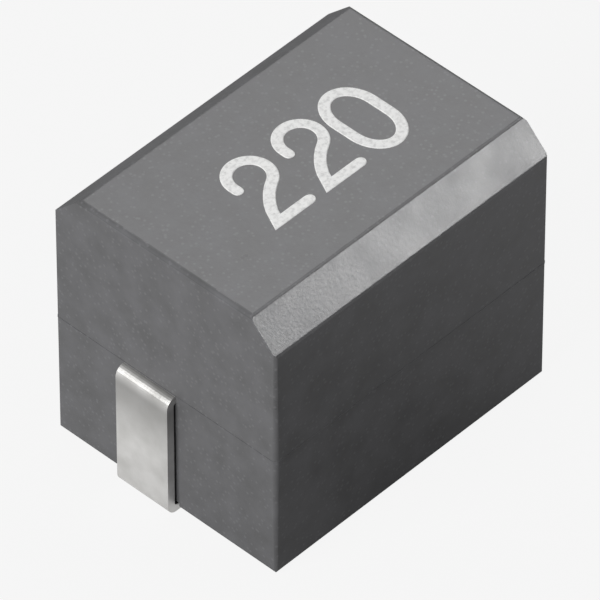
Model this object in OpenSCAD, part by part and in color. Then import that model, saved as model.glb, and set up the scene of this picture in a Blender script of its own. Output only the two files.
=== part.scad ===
// Shielded surface-mount inductor: a wire-wound ferrite drum inside a ferrite sleeve, carried
// on two folded lead-frame terminals and sealed in a moulded epoxy block.
//
// The board is the plane z = 0, the length runs along X, and the drum lies on its side along
// the length. Everything at one end is modelled at the +X end and turned half a turn about Z
// for the other, so the finished part is the same whichever way round it is placed.

/* [Moulded body] */
// Length of the moulding between its two end faces
body_l = 4.16; // [4.0:0.02:4.6]
// Width of the moulding
body_w = 3.2; // [3.0:0.05:3.8]
// Height of the moulding
body_h = 3.55; // [3.3:0.05:4.0]
// Width and height of the flat chamfer along each long top edge
chamfer = 0.36; // [0.1:0.02:0.6]
// Height of the mould's parting plane above the underside of the moulding
parting_h = 1.66; // [1.5:0.02:1.9]
// Draft angle of the walls above and below the parting plane
draft = 0.2; // [0:0.1:1.5]
// Radius of the moulding's edges
edge_r = 0.06; // [0.02:0.01:0.1]
// Height of the witness line that the two mould halves leave
witness_h = 0.02; // [0.01:0.01:0.06]
// Distance that the witness line stands out of the walls
witness_t = 0.004; // [0.002:0.001:0.02]

/* [Terminals] */
// Thickness of the lead-frame strip
lead_t = 0.1; // [0.08:0.01:0.16]
// Width of the strip outside the moulding
lead_w = 0.75; // [0.5:0.05:1.0]
// Distance of the strip's centre line from the middle of the body
lead_offset = 0.22; // [0:0.02:0.4]
// Inner radius of the strip's bends, which is also its gap from the end face
bend_r = 0.03; // [0.03:0.01:0.08]
// Length of the foot under the moulding
foot_l = 0.9; // [0.6:0.05:1.2]
// Height of the moulding's underside above the board
standoff = 0.04; // [0.03:0.01:0.08]
// Clearance round the foot in its pocket
pocket_gap = 0.03; // [0.02:0.01:0.06]
// Width of the upright tab that carries the drum
tab_w = 0.7; // [0.5:0.05:0.9]
// Height of the upright tab above its bend
tab_h = 0.75; // [0.5:0.05:0.8]
// Length of the wing that the wire is soldered to, measured along the body
wing_l = 0.24; // [0.2:0.01:0.28]
// Distance that the wing reaches past the wire
wing_reach = 0.12; // [0.1:0.01:0.16]

/* [Drum core] */
// Length of the drum over both flanges
core_l = 2.9; // [2.7:0.05:3.0]
// Diameter of the flanges
flange_d = 2.0; // [1.9:0.05:2.1]
// Thickness of each flange
flange_t = 0.35; // [0.3:0.05:0.45]
// Diameter of the barrel that the wire is wound on
barrel_d = 1.1; // [0.8:0.05:1.15]
// Radius of the drum's edges
core_r = 0.04; // [0.02:0.01:0.06]

/* [Winding] */
// Diameter of the enamelled wire
wire_d = 0.08; // [0.06:0.01:0.09]
// Number of layers of wire
layers = 2; // [1:1:3]
// Room left between the winding and each flange
winding_end_gap = 0.08; // [0.05:0.01:0.12]
// Distance of the wire ends from the drum's axis
tail_r = 0.86; // [0.84:0.01:0.88]
// Room left round the wire in the flange's notch
notch_gap = 0.03; // [0.02:0.01:0.04]

/* [Shield sleeve] */
// Wall thickness of the sleeve
sleeve_wall = 0.22; // [0.15:0.01:0.25]
// Length of the sleeve
sleeve_l = 2.5; // [2.4:0.05:2.6]
// Radial gap between the flanges and the sleeve
sleeve_gap = 0.08; // [0.05:0.01:0.1]

/* [Adhesive and solder] */
// Thickness of the adhesive between the drum and each tab
bond_t = 0.03; // [0.02:0.01:0.05]
// Length of the ring of adhesive in each end of the sleeve
ring_l = 0.12; // [0.06:0.01:0.12]
// Radius of the drop of solder over each wire end
solder_r = 0.12; // [0.11:0.01:0.14]
// Thickness of the solder between the wire and the wing
solder_film = 0.01; // [0.005:0.001:0.015]

/* [Hidden] */
$fn = 96;

// Steps in each rounded corner of an outline
corner_steps = 8;
// How far a cut runs past the face that it breaks through
past = 0.5;

// Heights above the board
body_z = standoff;
parting_z = body_z + parting_h;
top_z = body_z + body_h;
axis_z = body_z + body_h / 2;

// Half sizes of the moulding at its widest, at its underside and at its top
half_l = body_l / 2;
half_w = body_w / 2;
low_inset = parting_h * tan(draft);
high_inset = (body_h - parting_h) * tan(draft);
shoulder_inset = (body_h - parting_h - chamfer) * tan(draft);

// Radii about the drum's axis
flange_r = flange_d / 2;
barrel_r = barrel_d / 2;
sleeve_bore_r = flange_r + sleeve_gap;
sleeve_r = sleeve_bore_r + sleeve_wall;
wire_r = wire_d / 2;
// Each layer lies in the grooves of the one below it
layer_rise = wire_d * sin(60);
top_layer_r = barrel_r + wire_r + (layers - 1) * layer_rise;

// Distances from the middle of the body, towards an end
flange_x = core_l / 2 - flange_t;
tab_x = core_l / 2 + bond_t;
wing_x = tab_x + lead_t + bend_r;
leg_x = half_l + bend_r;
tail_end_x = wing_x + wing_l + 0.02;

// The wire end lies on the solder over the wing, and its height sets how far out it is
tail_z = parting_z + solder_film + wire_r;
tail_y = -sqrt(tail_r * tail_r - pow(tail_z - axis_z, 2));

// Where the varnish in the grooves lies, as a share of the wire's radius above its centre
groove_depth = 1 / 3;

// Turns that fit side by side between the flanges
winding_l = 2 * (flange_x - winding_end_gap);
turns = floor(winding_l / wire_d);

function unit(v) = v / norm(v);

// Points of a round corner of radius r at b, on the way from a to c
function corner(a, b, c, r) =
    let (
        u = unit(a - b),
        v = unit(c - b),
        half = acos(u * v) / 2,
        centre = b + unit(u + v) * r / sin(half),
        from = b + u * r / tan(half) - centre,
        to = b + v * r / tan(half) - centre,
        start = atan2(from[1], from[0]),
        turn = (atan2(to[1], to[0]) - start + 540) % 360 - 180
    )
    [for (i = [0:corner_steps])
        let (t = start + turn * i / corner_steps) centre + r * [cos(t), sin(t)]];

// A closed outline through the given points with every corner rounded to radius r
function rounded(points, r) =
    let (n = len(points))
    [for (i = [0:n - 1]) each corner(points[(i + n - 1) % n], points[i], points[(i + 1) % n], r)];

// Turns what is drawn for the +X end to either end
module at_end(side) {
    rotate([0, 0, side == "right" ? 0 : 180]) children();
}

// Revolves an outline of [radius, distance along the body] points about the drum's axis
module about_axis(points) {
    translate([0, 0, axis_z]) rotate([0, 90, 0]) rotate_extrude() polygon(points);
}

// Draws a side-view outline, given in X and Z, through a width from y to y + w
module across(y, w) {
    translate([0, y + w, 0]) rotate([90, 0, 0]) linear_extrude(w) children();
}

// ---- Moulded body ----

// Outline seen from the end, in Y and Z
module end_outline() {
    polygon(rounded([
        [-(half_w - low_inset), body_z],
        [half_w - low_inset, body_z],
        [half_w, parting_z],
        [half_w - shoulder_inset, top_z - chamfer],
        [half_w - shoulder_inset - chamfer, top_z],
        [-(half_w - shoulder_inset - chamfer), top_z],
        [-(half_w - shoulder_inset), top_z - chamfer],
        [-half_w, parting_z],
    ], edge_r));
}

// Outline seen from the side, in X and Z
module side_outline() {
    polygon(rounded([
        [-(half_l - low_inset), body_z],
        [half_l - low_inset, body_z],
        [half_l, parting_z],
        [half_l - high_inset, top_z],
        [-(half_l - high_inset), top_z],
        [-half_l, parting_z],
    ], edge_r));
}

// Outline seen from above, grown by the given amount
module plan_outline(grow = 0) {
    x = half_l + grow;
    y = half_w + grow;
    polygon(rounded([[-x, -y], [x, -y], [x, y], [-x, y]], edge_r + grow));
}

module block() {
    intersection() {
        translate([-half_l - past, 0, 0])
            rotate([90, 0, 90]) linear_extrude(body_l + 2 * past) end_outline();
        across(-half_w - past, body_w + 2 * past) side_outline();
        linear_extrude(top_z + past) plan_outline();
    }
    translate([0, 0, parting_z - witness_h / 2]) linear_extrude(witness_h) plan_outline(witness_t);
}

// Pocket in the underside that the foot is folded into, open towards the end face
module foot_pocket() {
    translate([
        half_l - foot_l - pocket_gap,
        -lead_offset - lead_w / 2 - pocket_gap,
        body_z - past,
    ])
        cube([foot_l + pocket_gap + past, lead_w + 2 * pocket_gap, lead_t - standoff + pocket_gap + past]);
}

// The epoxy fills every space that the parts inside leave
module moulded_body() {
    color("dimgray")
    difference() {
        block();
        about_axis([[0, -sleeve_l / 2], [sleeve_r, -sleeve_l / 2], [sleeve_r, sleeve_l / 2], [0, sleeve_l / 2]]);
        about_axis(drum_envelope());
        for (side = ["left", "right"]) {
            at_end(side) {
                foot_pocket();
                terminal_shape();
                tab_adhesive_shape();
                tail_shape();
                solder_drop();
            }
        }
    }
}

// ---- Terminals ----

// A quarter of a bend in the strip about [x, z], starting at the given angle
module bend(x, z, start) {
    steps = corner_steps;
    angles = [for (i = [0:steps]) start + 90 * i / steps];
    polygon(concat(
        [for (a = angles) [x, z] + bend_r * [cos(a), sin(a)]],
        [for (i = [steps:-1:0]) [x, z] + (bend_r + lead_t) * [cos(angles[i]), sin(angles[i])]]
    ));
}

// Side view of the strip from the wing, out through the end wall, down and under the moulding
module strip_outline() {
    translate([wing_x, parting_z - lead_t]) square([half_l - wing_x, lead_t]);
    bend(half_l, parting_z - lead_t - bend_r, 0);
    translate([leg_x, lead_t + bend_r]) square([lead_t, parting_z - 2 * (lead_t + bend_r)]);
    bend(half_l, lead_t + bend_r, 270);
    translate([half_l - foot_l, 0]) square([foot_l, lead_t]);
}

// Side view of the tab that is folded up against the drum
module tab_outline() {
    translate([wing_x, parting_z - lead_t]) square([wing_l, lead_t]);
    bend(wing_x, parting_z + bend_r, 180);
    translate([tab_x, parting_z + bend_r]) square([lead_t, tab_h]);
}

module terminal_shape() {
    across(-lead_offset - lead_w / 2, lead_w) strip_outline();
    across(-tab_w / 2, tab_w) tab_outline();
    translate([wing_x, tail_y - wing_reach, parting_z - lead_t])
        cube([wing_l, tab_w / 2 - tail_y + wing_reach, lead_t]);
}

module terminal(side) {
    color("lightgray") at_end(side) terminal_shape();
}

// ---- Drum core ----

// Outline of the space that the drum takes in the moulding
function drum_envelope() = [
    [0, -core_l / 2],
    [flange_r - core_r, -core_l / 2],
    [flange_r, core_r - core_l / 2],
    [flange_r, core_l / 2 - core_r],
    [flange_r - core_r, core_l / 2],
    [0, core_l / 2],
];

// Notch in the flange's rim that lets one end of the wire out
module flange_notch() {
    w = wire_d + 2 * notch_gap;
    translate([flange_x - past / 2, tail_y - past, tail_z - w / 2])
        cube([flange_t + past, past + w / 2, w]);
}

module drum_core() {
    color("dimgray")
    difference() {
        about_axis([
            [0, -core_l / 2],
            [flange_r - core_r, -core_l / 2],
            [flange_r, core_r - core_l / 2],
            [flange_r, -flange_x],
            [barrel_r, -flange_x],
            [barrel_r, flange_x],
            [flange_r, flange_x],
            [flange_r, core_l / 2 - core_r],
            [flange_r - core_r, core_l / 2],
            [0, core_l / 2],
        ]);
        for (side = ["left", "right"]) {
            at_end(side) flange_notch();
        }
    }
}

// ---- Winding ----

// End of the wire: it lifts off the last turn, passes the notch and lies on the wing
module tail_shape() {
    rise_x = flange_x - winding_end_gap - 2 * wire_d;
    bend_x = flange_x - wire_d / 2;
    run = [bend_x - rise_x, -tail_y - top_layer_r];
    translate([bend_x, tail_y, tail_z]) {
        rotate([0, 90, 0]) cylinder(h = tail_end_x - bend_x, d = wire_d);
        sphere(d = wire_d);
        rotate([0, 0, -atan2(run[1], run[0])]) rotate([0, -90, 0]) cylinder(h = norm(run), d = wire_d);
    }
}

// Outline of one turn of the outermost layer, centred at x, down to the groove on each side
function ridge(x) =
    let (foot = asin(groove_depth))
    [for (i = [0:corner_steps])
        let (t = foot + (180 - 2 * foot) * i / corner_steps)
        [top_layer_r + wire_r * sin(t), x - wire_r * cos(t)]];

// The layers are wound tight, so only the outermost one shows its turns as ridges
module winding() {
    color("chocolate") {
        about_axis(concat(
            [[barrel_r, -turns * wire_d / 2]],
            [for (i = [0:turns - 1]) each ridge((i + 0.5 - turns / 2) * wire_d)],
            [[barrel_r, turns * wire_d / 2]]
        ));
        for (side = ["left", "right"]) {
            at_end(side) tail_shape();
        }
    }
}

// ---- Shield sleeve ----

module shield_sleeve() {
    color("slategray")
    about_axis([
        [sleeve_bore_r, -sleeve_l / 2],
        [sleeve_r, -sleeve_l / 2],
        [sleeve_r, sleeve_l / 2],
        [sleeve_bore_r, sleeve_l / 2],
    ]);
}

// ---- Adhesive and solder ----

module tab_adhesive_shape() {
    translate([core_l / 2, -tab_w / 2, parting_z + bend_r]) cube([bond_t, tab_w, tab_h]);
}

module tab_adhesive(side) {
    color("beige") at_end(side) tab_adhesive_shape();
}

// Ring of adhesive that holds the flange in the middle of the sleeve
module sleeve_adhesive(side) {
    color("beige")
    at_end(side) about_axis([
        [flange_r, sleeve_l / 2 - ring_l],
        [sleeve_bore_r, sleeve_l / 2 - ring_l],
        [sleeve_bore_r, sleeve_l / 2],
        [flange_r, sleeve_l / 2],
    ]);
}

// Drop of solder on the wing, before the wire takes its place in it
module solder_drop() {
    translate([wing_x + wing_l / 2, tail_y, parting_z])
    intersection() {
        sphere(r = solder_r);
        translate([-solder_r, -solder_r, 0]) cube(2 * solder_r);
    }
}

module solder(side) {
    color("silver")
    at_end(side) difference() {
        solder_drop();
        tail_shape();
    }
}

moulded_body();
shield_sleeve();
drum_core();
winding();
terminal("left");  // terminal_left
terminal("right");  // terminal_right
solder("left");  // solder_left
solder("right");  // solder_right
tab_adhesive("left");  // tab_adhesive_left
tab_adhesive("right");  // tab_adhesive_right
sleeve_adhesive("left");  // sleeve_adhesive_left
sleeve_adhesive("right");  // sleeve_adhesive_right
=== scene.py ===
"""Looks of a moulded, shielded surface-mount inductor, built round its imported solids.

The solids keep their shapes. This script gives each one its finish, prints the value figures on
the top, and sets up the floor, the lamps and the camera. Lengths are in metres.
"""

import math

import bpy
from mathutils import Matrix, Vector

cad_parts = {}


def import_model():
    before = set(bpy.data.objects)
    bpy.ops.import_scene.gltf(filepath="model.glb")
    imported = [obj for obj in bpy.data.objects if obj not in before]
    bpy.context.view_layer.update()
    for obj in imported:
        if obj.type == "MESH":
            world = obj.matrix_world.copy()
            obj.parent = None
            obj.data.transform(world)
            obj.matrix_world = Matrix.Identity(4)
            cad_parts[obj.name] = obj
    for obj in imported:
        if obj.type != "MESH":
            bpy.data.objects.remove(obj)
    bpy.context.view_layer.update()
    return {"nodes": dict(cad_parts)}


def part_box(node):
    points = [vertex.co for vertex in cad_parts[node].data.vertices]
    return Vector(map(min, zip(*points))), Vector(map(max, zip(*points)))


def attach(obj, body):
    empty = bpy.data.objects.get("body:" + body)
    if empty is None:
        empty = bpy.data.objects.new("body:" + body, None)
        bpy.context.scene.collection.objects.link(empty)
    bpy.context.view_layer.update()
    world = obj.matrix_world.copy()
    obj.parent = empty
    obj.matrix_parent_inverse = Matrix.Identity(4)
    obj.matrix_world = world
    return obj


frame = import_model()

MM = 0.001
body_low, body_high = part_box("moulded_body")
body_centre = (body_low + body_high) / 2
body_width = body_high.y - body_low.y
# The solder stands on the terminals' wings, which lie along the parting plane of the mould
parting_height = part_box("solder_left")[0].z
BEND_HEIGHT = 0.1 * MM         # depth of each terminal's upper bend below the parting plane


# ---- Materials ----

def linear(hex_colour):
    """An sRGB hex colour as linear RGBA."""
    channels = [int(hex_colour[i:i + 2], 16) / 255 for i in (1, 3, 5)]
    return [c / 12.92 if c <= 0.04045 else ((c + 0.055) / 1.055) ** 2.4 for c in channels] + [1.0]


def add_node(tree, kind, settings=None, inputs=None):
    """Adds a node, sets its properties, and sets or links its inputs."""
    node = tree.nodes.new(kind)
    for name, value in (settings or {}).items():
        setattr(node, name, value)
    for name, value in (inputs or {}).items():
        if isinstance(value, bpy.types.NodeSocket):
            tree.links.new(value, node.inputs[name])
        else:
            node.inputs[name].default_value = value
    return node


def new_material(name):
    """An empty node material: its tree, its output node, and coordinates on the part in millimetres."""
    material = bpy.data.materials.new(name)
    material.use_nodes = True
    tree = material.node_tree
    tree.nodes.clear()
    output = add_node(tree, "ShaderNodeOutputMaterial")
    place = add_node(tree, "ShaderNodeTexCoord").outputs["Object"]
    in_mm = add_node(tree, "ShaderNodeVectorMath", {"operation": "SCALE"}, {0: place, "Scale": 1 / MM})
    return material, tree, output, in_mm.outputs[0]


def moulded_epoxy():
    """Epoxy moulding compound, transfer moulded against spark-eroded steel.

    The eroded steel leaves an even matte grain, and the silica filler that the compound is packed
    with shows as a faint pale speckle in the dark resin. The resin's flow leaves soft cloudy
    patches a few tenths of a millimetre wide.
    """
    material, tree, output, in_mm = new_material("moulded_epoxy")
    # Eroded pits are about 0.02 mm apart, and are drawn at 0.045 mm to show
    grain = add_node(tree, "ShaderNodeTexNoise", None, {
        "Vector": in_mm, "Scale": 1 / 0.045, "Detail": 3.0, "Roughness": 0.6,
    }).outputs["Fac"]
    clouds = add_node(tree, "ShaderNodeTexNoise", None, {
        "Vector": in_mm, "Scale": 1 / 0.35, "Detail": 4.0, "Roughness": 0.55,
    }).outputs["Fac"]
    # Filler grains are up to 0.05 mm across, and one in a few lies bare at the surface
    filler = add_node(tree, "ShaderNodeTexVoronoi", None, {"Vector": in_mm, "Scale": 1 / 0.07})
    bare = add_node(tree, "ShaderNodeMapRange", {"interpolation_type": "SMOOTHSTEP"}, {
        "Value": filler.outputs["Distance"],
        "From Min": 0.15, "From Max": 0.32, "To Min": 0.45, "To Max": 0.0,
    }).outputs[0]
    resin = add_node(tree, "ShaderNodeValToRGB", None, {"Fac": clouds})
    resin.color_ramp.elements[0].position, resin.color_ramp.elements[0].color = 0.32, linear("#585859")
    resin.color_ramp.elements[1].position, resin.color_ramp.elements[1].color = 0.68, linear("#656567")
    colour = add_node(tree, "ShaderNodeMix", {"data_type": "RGBA"}, {
        "Factor": bare, 6: resin.outputs["Color"], 7: linear("#757577"),
    }).outputs[2]
    # The gloss is set duller at flat angles of view, which keeps the lamps' sheen on the sides soft
    flat_on = add_node(tree, "ShaderNodeLayerWeight", None, {"Blend": 0.5}).outputs["Facing"]
    dulled = add_node(tree, "ShaderNodeMapRange", None, {
        "Value": flat_on, "From Min": 0.2, "From Max": 0.85, "To Min": 0.2, "To Max": 0.78,
    }).outputs[0]
    uneven = add_node(tree, "ShaderNodeMapRange", None, {
        "Value": clouds, "From Min": 0.3, "From Max": 0.7, "To Min": -0.02, "To Max": 0.04,
    }).outputs[0]
    rough = add_node(tree, "ShaderNodeMath", {"operation": "ADD"}, {0: dulled, 1: uneven}).outputs[0]
    relief = add_node(tree, "ShaderNodeBump", None, {
        "Height": grain, "Strength": 1.0, "Distance": 0.0012 * MM,
    })
    surface = add_node(tree, "ShaderNodeBsdfPrincipled", None, {
        "Base Color": colour, "Roughness": rough, "IOR": 1.5, "Specular IOR Level": 0.38,
        "Normal": relief.outputs[0],
    })
    tree.links.new(surface.outputs[0], output.inputs["Surface"])
    return material


def tin_plate():
    """Matte tin, electroplated on copper-alloy strip that was rolled, stamped and folded.

    The plating is a fine grey-white crystal with a broad soft gloss. The rolling lines of the
    strip under it run along the terminal, and the folding tools leave duller rubbed patches.
    """
    material, tree, output, in_mm = new_material("tin_plate")
    # Rolling lines are about 0.01 mm apart, and are drawn at 0.03 mm across the strip to show
    along = add_node(tree, "ShaderNodeVectorMath", {"operation": "MULTIPLY"},
                     {0: in_mm, 1: (0.06, 1.0, 0.06)}).outputs[0]
    lines = add_node(tree, "ShaderNodeTexNoise", None, {
        "Vector": along, "Scale": 1 / 0.03, "Detail": 2.0, "Roughness": 0.5,
    }).outputs["Fac"]
    crystal = add_node(tree, "ShaderNodeTexNoise", None, {
        "Vector": in_mm, "Scale": 1 / 0.025, "Detail": 2.0, "Roughness": 0.6,
    }).outputs["Fac"]
    rubbed = add_node(tree, "ShaderNodeTexNoise", None, {
        "Vector": in_mm, "Scale": 1 / 0.3, "Detail": 3.0, "Roughness": 0.5,
    }).outputs["Fac"]
    tone = add_node(tree, "ShaderNodeValToRGB", None, {"Fac": rubbed})
    tone.color_ramp.elements[0].position, tone.color_ramp.elements[0].color = 0.35, linear("#dfdedb")
    tone.color_ramp.elements[1].position, tone.color_ramp.elements[1].color = 0.65, linear("#efeeec")
    # The leg is painted greyer towards its bend, from 0.7 mm above the board: painted shade that stands
    # in for the dimmer reflections up there. The bend itself is greyed less, so that its highlight stays
    # bright.
    bend = (parting_height - BEND_HEIGHT) / MM
    height = add_node(tree, "ShaderNodeSeparateXYZ", None, {0: in_mm}).outputs["Z"]
    painted_shade_rise = add_node(tree, "ShaderNodeMapRange", {"interpolation_type": "SMOOTHSTEP"}, {
        "Value": height, "From Min": 0.7, "From Max": bend, "To Min": 0.0, "To Max": 0.65,
    }).outputs[0]
    below_bend = add_node(tree, "ShaderNodeMapRange", {"interpolation_type": "SMOOTHSTEP"}, {
        "Value": height, "From Min": bend - 0.1, "From Max": bend + 0.02, "To Min": 1.0, "To Max": 0.5,
    }).outputs[0]
    painted_shade = add_node(tree, "ShaderNodeMath", {"operation": "MULTIPLY"},
                    {0: painted_shade_rise, 1: below_bend}).outputs[0]
    # Mixes in the grey of the painted shade on the leg
    colour = add_node(tree, "ShaderNodeMix", {"data_type": "RGBA"}, {
        "Factor": painted_shade, 6: tone.outputs["Color"], 7: linear("#868583"),
    }).outputs[2]
    rough = add_node(tree, "ShaderNodeMapRange", None, {
        "Value": rubbed, "From Min": 0.3, "From Max": 0.7, "To Min": 0.34, "To Max": 0.44,
    }).outputs[0]
    ridges = add_node(tree, "ShaderNodeBump", None, {
        "Height": lines, "Strength": 1.0, "Distance": 0.0008 * MM,
    })
    relief = add_node(tree, "ShaderNodeBump", None, {
        "Height": crystal, "Strength": 1.0, "Distance": 0.0005 * MM, "Normal": ridges.outputs[0],
    })
    surface = add_node(tree, "ShaderNodeBsdfPrincipled", None, {
        "Base Color": colour, "Metallic": 1.0, "Roughness": rough, "Normal": relief.outputs[0],
    })
    tree.links.new(surface.outputs[0], output.inputs["Surface"])
    return material


def marking_ink():
    """White marking ink, jetted on in a single stroke and cured by ultraviolet light.

    It lies a few thousandths of a millimetre thick over the matte grain. Where it is thinnest, a
    little of the grey shows through.
    """
    material, tree, output, in_mm = new_material("marking_ink")
    grain = add_node(tree, "ShaderNodeTexNoise", None, {
        "Vector": in_mm, "Scale": 1 / 0.05, "Detail": 3.0, "Roughness": 0.6,
    }).outputs["Fac"]
    cover = add_node(tree, "ShaderNodeValToRGB", None, {"Fac": grain})
    cover.color_ramp.elements[0].position, cover.color_ramp.elements[0].color = 0.3, linear("#cfcfce")
    cover.color_ramp.elements[1].position, cover.color_ramp.elements[1].color = 0.55, linear("#ededec")
    relief = add_node(tree, "ShaderNodeBump", None, {
        "Height": grain, "Strength": 1.0, "Distance": 0.001 * MM,
    })
    surface = add_node(tree, "ShaderNodeBsdfPrincipled", None, {
        "Base Color": cover.outputs["Color"], "Roughness": 0.5, "IOR": 1.5, "Specular IOR Level": 0.3,
        "Normal": relief.outputs[0],
    })
    tree.links.new(surface.outputs[0], output.inputs["Surface"])
    return material


def sintered_ferrite():
    """Nickel-zinc ferrite, pressed from powder, sintered and ground: near black, dull, fine grained."""
    material, tree, output, in_mm = new_material("sintered_ferrite")
    # Sintered grains are a few thousandths of a millimetre across, and are drawn at 0.03 mm to show
    grains = add_node(tree, "ShaderNodeTexVoronoi", None, {"Vector": in_mm, "Scale": 1 / 0.03})
    tone = add_node(tree, "ShaderNodeValToRGB", None, {"Fac": grains.outputs["Distance"]})
    tone.color_ramp.elements[0].position, tone.color_ramp.elements[0].color = 0.1, linear("#34343a")
    tone.color_ramp.elements[1].position, tone.color_ramp.elements[1].color = 0.7, linear("#232326")
    relief = add_node(tree, "ShaderNodeBump", None, {
        "Height": grains.outputs["Distance"], "Strength": 0.6, "Distance": 0.001 * MM,
    })
    surface = add_node(tree, "ShaderNodeBsdfPrincipled", None, {
        "Base Color": tone.outputs["Color"], "Roughness": 0.55, "IOR": 2.3, "Normal": relief.outputs[0],
    })
    tree.links.new(surface.outputs[0], output.inputs["Surface"])
    return material


def enamelled_copper():
    """Copper wire, drawn through dies and coated with clear polyurethane enamel.

    The enamel makes it glossy and a little amber over the warm metal.
    """
    material, tree, output, in_mm = new_material("enamelled_copper")
    draws = add_node(tree, "ShaderNodeTexNoise", None, {
        "Vector": in_mm, "Scale": 1 / 0.12, "Detail": 3.0, "Roughness": 0.5,
    }).outputs["Fac"]
    tone = add_node(tree, "ShaderNodeValToRGB", None, {"Fac": draws})
    tone.color_ramp.elements[0].position, tone.color_ramp.elements[0].color = 0.35, linear("#b4602f")
    tone.color_ramp.elements[1].position, tone.color_ramp.elements[1].color = 0.65, linear("#cb7b45")
    surface = add_node(tree, "ShaderNodeBsdfPrincipled", None, {
        "Base Color": tone.outputs["Color"], "Metallic": 1.0, "Roughness": 0.28,
        "Coat Weight": 1.0, "Coat Roughness": 0.08, "Coat IOR": 1.55,
    })
    tree.links.new(surface.outputs[0], output.inputs["Surface"])
    return material


def reflowed_solder():
    """Tin-silver-copper solder, frozen from a molten drop: bright, with a faint frost of crystals."""
    material, tree, output, in_mm = new_material("reflowed_solder")
    frost = add_node(tree, "ShaderNodeTexNoise", None, {
        "Vector": in_mm, "Scale": 1 / 0.04, "Detail": 3.0, "Roughness": 0.6,
    }).outputs["Fac"]
    rough = add_node(tree, "ShaderNodeMapRange", None, {
        "Value": frost, "From Min": 0.35, "From Max": 0.65, "To Min": 0.16, "To Max": 0.32,
    }).outputs[0]
    relief = add_node(tree, "ShaderNodeBump", None, {
        "Height": frost, "Strength": 1.0, "Distance": 0.0005 * MM,
    })
    surface = add_node(tree, "ShaderNodeBsdfPrincipled", None, {
        "Base Color": linear("#d2d2cf"), "Metallic": 1.0, "Roughness": rough, "Normal": relief.outputs[0],
    })
    tree.links.new(surface.outputs[0], output.inputs["Surface"])
    return material


def cured_adhesive():
    """Two-part epoxy adhesive, squeezed out and cured: cream and smooth, with a few cloudy spots."""
    material, tree, output, in_mm = new_material("cured_adhesive")
    spots = add_node(tree, "ShaderNodeTexNoise", None, {
        "Vector": in_mm, "Scale": 1 / 0.15, "Detail": 2.0, "Roughness": 0.5,
    }).outputs["Fac"]
    tone = add_node(tree, "ShaderNodeValToRGB", None, {"Fac": spots})
    tone.color_ramp.elements[0].position, tone.color_ramp.elements[0].color = 0.35, linear("#cbbf9c")
    tone.color_ramp.elements[1].position, tone.color_ramp.elements[1].color = 0.65, linear("#dcd2b4")
    surface = add_node(tree, "ShaderNodeBsdfPrincipled", None, {
        "Base Color": tone.outputs["Color"], "Roughness": 0.32, "IOR": 1.5,
    })
    tree.links.new(surface.outputs[0], output.inputs["Surface"])
    return material


def dress(material, *nodes):
    """Gives CAD nodes a material."""
    for name in nodes:
        mesh = frame["nodes"][name].data
        mesh.materials.clear()
        mesh.materials.append(material)


dress(moulded_epoxy(), "moulded_body")
dress(tin_plate(), "terminal_left", "terminal_right")
dress(sintered_ferrite(), "shield_sleeve", "drum_core")
dress(enamelled_copper(), "winding")
dress(reflowed_solder(), "solder_left", "solder_right")
dress(cured_adhesive(), "tab_adhesive_left", "tab_adhesive_right",
      "sleeve_adhesive_left", "sleeve_adhesive_right")


# ---- Value figures printed on the top ----

FIGURE_HEIGHT = 0.93 * MM      # between the middles of the top and bottom strokes
BOWL = 0.245 * MM              # radius of the upper bowl of a two
HOOK = 0.06 * MM               # straight start of a two, below the middle of its bowl
BASE_LEFT, BASE_RIGHT = 0.29 * MM, 0.18 * MM    # reach of a two's base line to each side
LEAN = math.radians(70)        # slope at which a two's down stroke meets its base line
NOUGHT_WIDTH = 0.54 * MM
NOUGHT_STRETCH = 1.3           # height of the nought's rounded ends over half its width
NOUGHT_OVERSHOOT = 0.015 * MM  # a round figure is drawn a little taller, so that it looks as tall
STROKE = 0.14 * MM
INK_THICKNESS = 0.006 * MM
INK_BITE = 0.002 * MM          # depth that the ink keys into the grain
INK_FLAT = 0.86                # share of a stroke's width that is level, between its sloping edges
ARC_STEP = math.radians(6)
CAP_STEPS = [math.radians(a) for a in (20, 40, 60, 80)]    # round a stroke's end, from its side
FIGURE_BASE = -FIGURE_HEIGHT / 2 - 0.01 * MM
TWO_FIRST_AT = Vector((-0.57 * MM, FIGURE_BASE))
TWO_SECOND_AT = Vector((0.20 * MM, FIGURE_BASE))
NOUGHT_AT = Vector((0.89 * MM, FIGURE_BASE - 0.03 * MM))


def arc(centre, radius, start, end, stretch=1.0):
    """Points on an arc from one angle to another, in degrees, drawn taller by the stretch."""
    start, end = math.radians(start), math.radians(end)
    steps = max(2, round(abs(end - start) / ARC_STEP))
    angles = [start + (end - start) * i / steps for i in range(steps + 1)]
    return [Vector((centre[0] + radius * math.cos(a), centre[1] + radius * stretch * math.sin(a)))
            for a in angles]


def figure_two():
    """One stroke: a short hook, a round bowl, a reversed curve down to the left, and the base line."""
    drop = FIGURE_HEIGHT - BOWL
    # The reversed curve's radius, so that it touches the bowl smoothly and ends at the base's slope
    sweep = ((BASE_LEFT ** 2 + drop ** 2 - BOWL ** 2)
             / (2 * (BOWL + BASE_LEFT * math.sin(LEAN) - drop * math.cos(LEAN))))
    centre = (-BASE_LEFT + sweep * math.sin(LEAN), -sweep * math.cos(LEAN))
    meet = math.degrees(math.atan2(drop - centre[1], -centre[0]))
    finish = math.degrees(math.atan2(-centre[1], -BASE_LEFT - centre[0]))
    # The last point before the corner is left out, so that the stroke's inner edge doesn't fold over
    return ([Vector((-BOWL, drop - HOOK))]
            + arc((0, drop), BOWL, 180, meet - 180)
            + arc(centre, sweep, meet, finish)[1:-2]
            + [Vector((-BASE_LEFT, 0)), Vector((BASE_RIGHT, 0))])


def figure_nought():
    """One closed stroke: two tall half rounds joined by straight sides."""
    half = NOUGHT_WIDTH / 2
    low = half * NOUGHT_STRETCH - NOUGHT_OVERSHOOT
    high = FIGURE_HEIGHT - low
    return arc((0, high), half, 0, 180, NOUGHT_STRETCH) + arc((0, low), half, 180, 360, NOUGHT_STRETCH)


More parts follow.
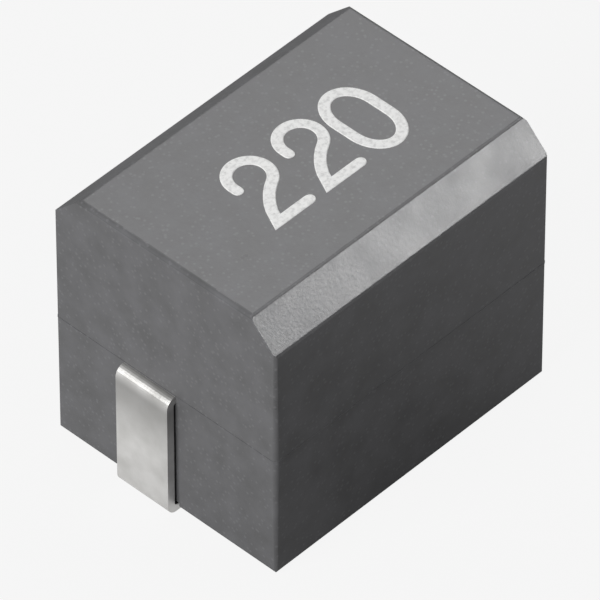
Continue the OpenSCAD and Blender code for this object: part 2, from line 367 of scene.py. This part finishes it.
def stroke_sections(path, closed):
    """Centre, sideways direction and half width at each step of a stroke, round ended when open."""
    count = len(path)
    headings = [(path[(i + 1) % count] - path[i]).normalized() for i in range(count)]
    half = STROKE / 2
    sections = []
    for i, point in enumerate(path):
        before = headings[i - 1] if closed or i else headings[i]
        after = headings[i] if closed or i < count - 1 else before
        side_before, side_after = (Vector((-h.y, h.x)) for h in (before, after))
        sections.append((point, (side_before + side_after) / (1 + side_before.dot(side_after)), half))
    if not closed:
        for at, outwards in ((0, -headings[0]), (-1, headings[-2])):
            point, side, _ = sections[at]
            cap = [(point + outwards * half * math.sin(t), side, half * math.cos(t)) for t in CAP_STEPS]
            sections = cap[::-1] + sections if at == 0 else sections + cap
    return sections


def ink_figure(name, path, closed, foot, material):
    """A thin closed layer of ink along a stroke, with the middle of its base at the given point."""
    vertices, faces = [], []
    sections = stroke_sections(path, closed)
    # Across the stroke: both edges keyed into the grain, and the level top between them
    profile = ((1, -INK_BITE), (INK_FLAT, INK_THICKNESS), (-INK_FLAT, INK_THICKNESS), (-1, -INK_BITE))
    for centre, side, half in sections:
        for reach, height in profile:
            at = foot + centre + side * half * reach
            vertices.append((at.x, at.y, body_high.z + height))
    count = len(sections)
    for i in range(count if closed else count - 1):
        here, there = 4 * i, 4 * ((i + 1) % count)
        faces += [(here + k, here + (k + 1) % 4, there + (k + 1) % 4, there + k) for k in range(4)]
    if not closed:
        faces += [(3, 2, 1, 0), tuple(4 * (count - 1) + k for k in range(4))]
    mesh = bpy.data.meshes.new(name)
    mesh.from_pydata(vertices, [], faces)
    mesh.validate()
    mesh.update()
    mesh.materials.append(material)
    thing = bpy.data.objects.new(name, mesh)
    bpy.context.scene.collection.objects.link(thing)
    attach(thing, "root")


def print_value():
    """The value's three figures, two, two and nought, along the length of the top."""
    ink = marking_ink()
    ink_figure("figure_two_first", figure_two(), False, TWO_FIRST_AT, ink)
    ink_figure("figure_two_second", figure_two(), False, TWO_SECOND_AT, ink)
    ink_figure("figure_nought", figure_nought(), True, NOUGHT_AT, ink)


print_value()


# ---- Stage ----

LAMP_DISTANCE = 60 * MM
BACKGROUND_WHITE = 0.9         # how white the camera sees the floor and the room
ROOM_STRENGTH = 0.1            # light that the room itself gives
ROOM_MIRRORED = 0.25           # how white the room is in reflections
FLOOR_MIRRORED = 0.64          # how white the floor is in reflections, clear of the shade drawn on it
SHADE_START, SHADE_END = 0.5, 4.2      # mm from the middle of the shade, where its fading starts and ends
PAPER_GREY = "#818181"         # as the lamps light it


def aim(thing, position, target):
    """Places a thing and turns its -Z axis to the target."""
    thing.location = position
    thing.rotation_mode = "QUATERNION"
    thing.rotation_quaternion = (Vector(target) - Vector(position)).to_track_quat("-Z", "Y")


def direction(azimuth, elevation):
    """Unit vector from the object towards a viewer at that azimuth and elevation."""
    a, e = math.radians(azimuth), math.radians(elevation)
    return Vector((math.sin(a) * math.cos(e), -math.cos(a) * math.cos(e), math.sin(e)))


def lamp(name, azimuth, elevation, width, height, power):
    """A soft box, aimed at the middle of the block."""
    data = bpy.data.lights.new(name, "AREA")
    data.shape = "RECTANGLE"
    data.size, data.size_y = width, height
    data.energy = power
    thing = bpy.data.objects.new(name, data)
    bpy.context.scene.collection.objects.link(thing)
    aim(thing, body_centre + direction(azimuth, elevation) * LAMP_DISTANCE, body_centre)


def camera(azimuth, elevation, lens, view_width, shift):
    """A long lens that sees view_width at the block's middle. The shift moves its aim right and up."""
    data = bpy.data.cameras.new("camera")
    data.lens = lens
    distance = lens / data.sensor_width * view_width
    data.clip_start, data.clip_end = distance / 10, distance * 10
    thing = bpy.data.objects.new("camera", data)
    bpy.context.scene.collection.objects.link(thing)
    back = direction(azimuth, elevation)
    right = Vector((-back.y, back.x, 0)).normalized()
    target = body_centre + right * shift[0] + back.cross(right) * shift[1]
    aim(thing, target + back * distance, target)
    bpy.context.scene.camera = thing


def share_seen_white(tree, mirrored_share):
    """How white the background is to a ray: one share to the camera, another in reflections."""
    ray = add_node(tree, "ShaderNodeLightPath").outputs
    reflection = add_node(tree, "ShaderNodeMath", {"operation": "ADD"},
                          {0: ray["Is Glossy Ray"], 1: ray["Is Transmission Ray"]}).outputs[0]
    in_reflections = add_node(tree, "ShaderNodeMath", {"operation": "MULTIPLY"},
                              {0: reflection, 1: mirrored_share}).outputs[0]
    return add_node(tree, "ShaderNodeMath", {"operation": "MULTIPLY_ADD"},
                    {0: ray["Is Camera Ray"], 1: BACKGROUND_WHITE, 2: in_reflections}).outputs[0]


def floor():
    """A wide sheet of pale paper. The camera sees it nearly white, and reflections a little greyer."""
    reach = 60 * body_width
    mesh = bpy.data.meshes.new("floor")
    corners = [(-reach, -reach, 0), (reach, -reach, 0), (reach, reach, 0), (-reach, reach, 0)]
    mesh.from_pydata(corners, [], [(0, 1, 2, 3)])
    thing = bpy.data.objects.new("floor", mesh)
    bpy.context.scene.collection.objects.link(thing)
    material, tree, output, in_mm = new_material("floor_paper")
    # A soft shade is drawn beside the long side, for reflections only: the paper that this side
    # mirrors is dim at its foot, and lighter a few millimetres out
    shade_middle = (0, body_low.y / MM - 0.6, 0)
    outwards = add_node(tree, "ShaderNodeVectorMath", {"operation": "DISTANCE"},
                        {0: in_mm, 1: shade_middle}).outputs["Value"]
    mirrored = add_node(tree, "ShaderNodeMapRange", None, {
        "Value": outwards,
        "From Min": SHADE_START, "From Max": SHADE_END, "To Min": 0.0, "To Max": FLOOR_MIRRORED,
    }).outputs[0]
    paper = add_node(tree, "ShaderNodeBsdfDiffuse", None, {"Color": linear(PAPER_GREY)})
    glow = add_node(tree, "ShaderNodeEmission", None, {"Color": (1, 1, 1, 1), "Strength": 1.0})
    mix = add_node(tree, "ShaderNodeMixShader", None,
                   {0: share_seen_white(tree, mirrored), 1: paper.outputs[0], 2: glow.outputs[0]})
    tree.links.new(mix.outputs[0], output.inputs["Surface"])
    mesh.materials.append(material)


def world():
    """A dim room round the table. The camera sees it nearly white, and reflections grey."""
    studio = bpy.data.worlds.new("studio")
    studio.use_nodes = True
    bpy.context.scene.world = studio
    tree = studio.node_tree
    tree.nodes.clear()
    room = add_node(tree, "ShaderNodeBackground", None, {"Color": (1, 1, 1, 1), "Strength": ROOM_STRENGTH})
    white = add_node(tree, "ShaderNodeBackground", None, {"Color": (1, 1, 1, 1), "Strength": 1.0})
    mix = add_node(tree, "ShaderNodeMixShader", None,
                   {0: share_seen_white(tree, ROOM_MIRRORED), 1: room.outputs[0], 2: white.outputs[0]})
    output = add_node(tree, "ShaderNodeOutputWorld")
    tree.links.new(mix.outputs[0], output.inputs["Surface"])


floor()
world()
# The top mirrors two boxes beyond the far corner, the near chamfer one, and the rounded edge
# between them one. The end box lights the near end, and the figures on the top.
lamp("top_box", 134, 45, 22 * MM, 22 * MM, 0.0048)
lamp("far_box", 120, 35, 22 * MM, 22 * MM, 0.0025)
lamp("chamfer_box", 38, 30, 9.5 * MM, 9.5 * MM, 0.0051)
lamp("edge_box", 74, 57, 16 * MM, 16 * MM, 0.0034)
lamp("end_box", -92, 33, 30 * MM, 24 * MM, 0.0368)
camera(azimuth=-46.5, elevation=44.4, lens=600, view_width=6.326 * MM, shift=(-0.020 * MM, -0.205 * MM))
bpy.context.scene.view_settings.view_transform = "Standard"
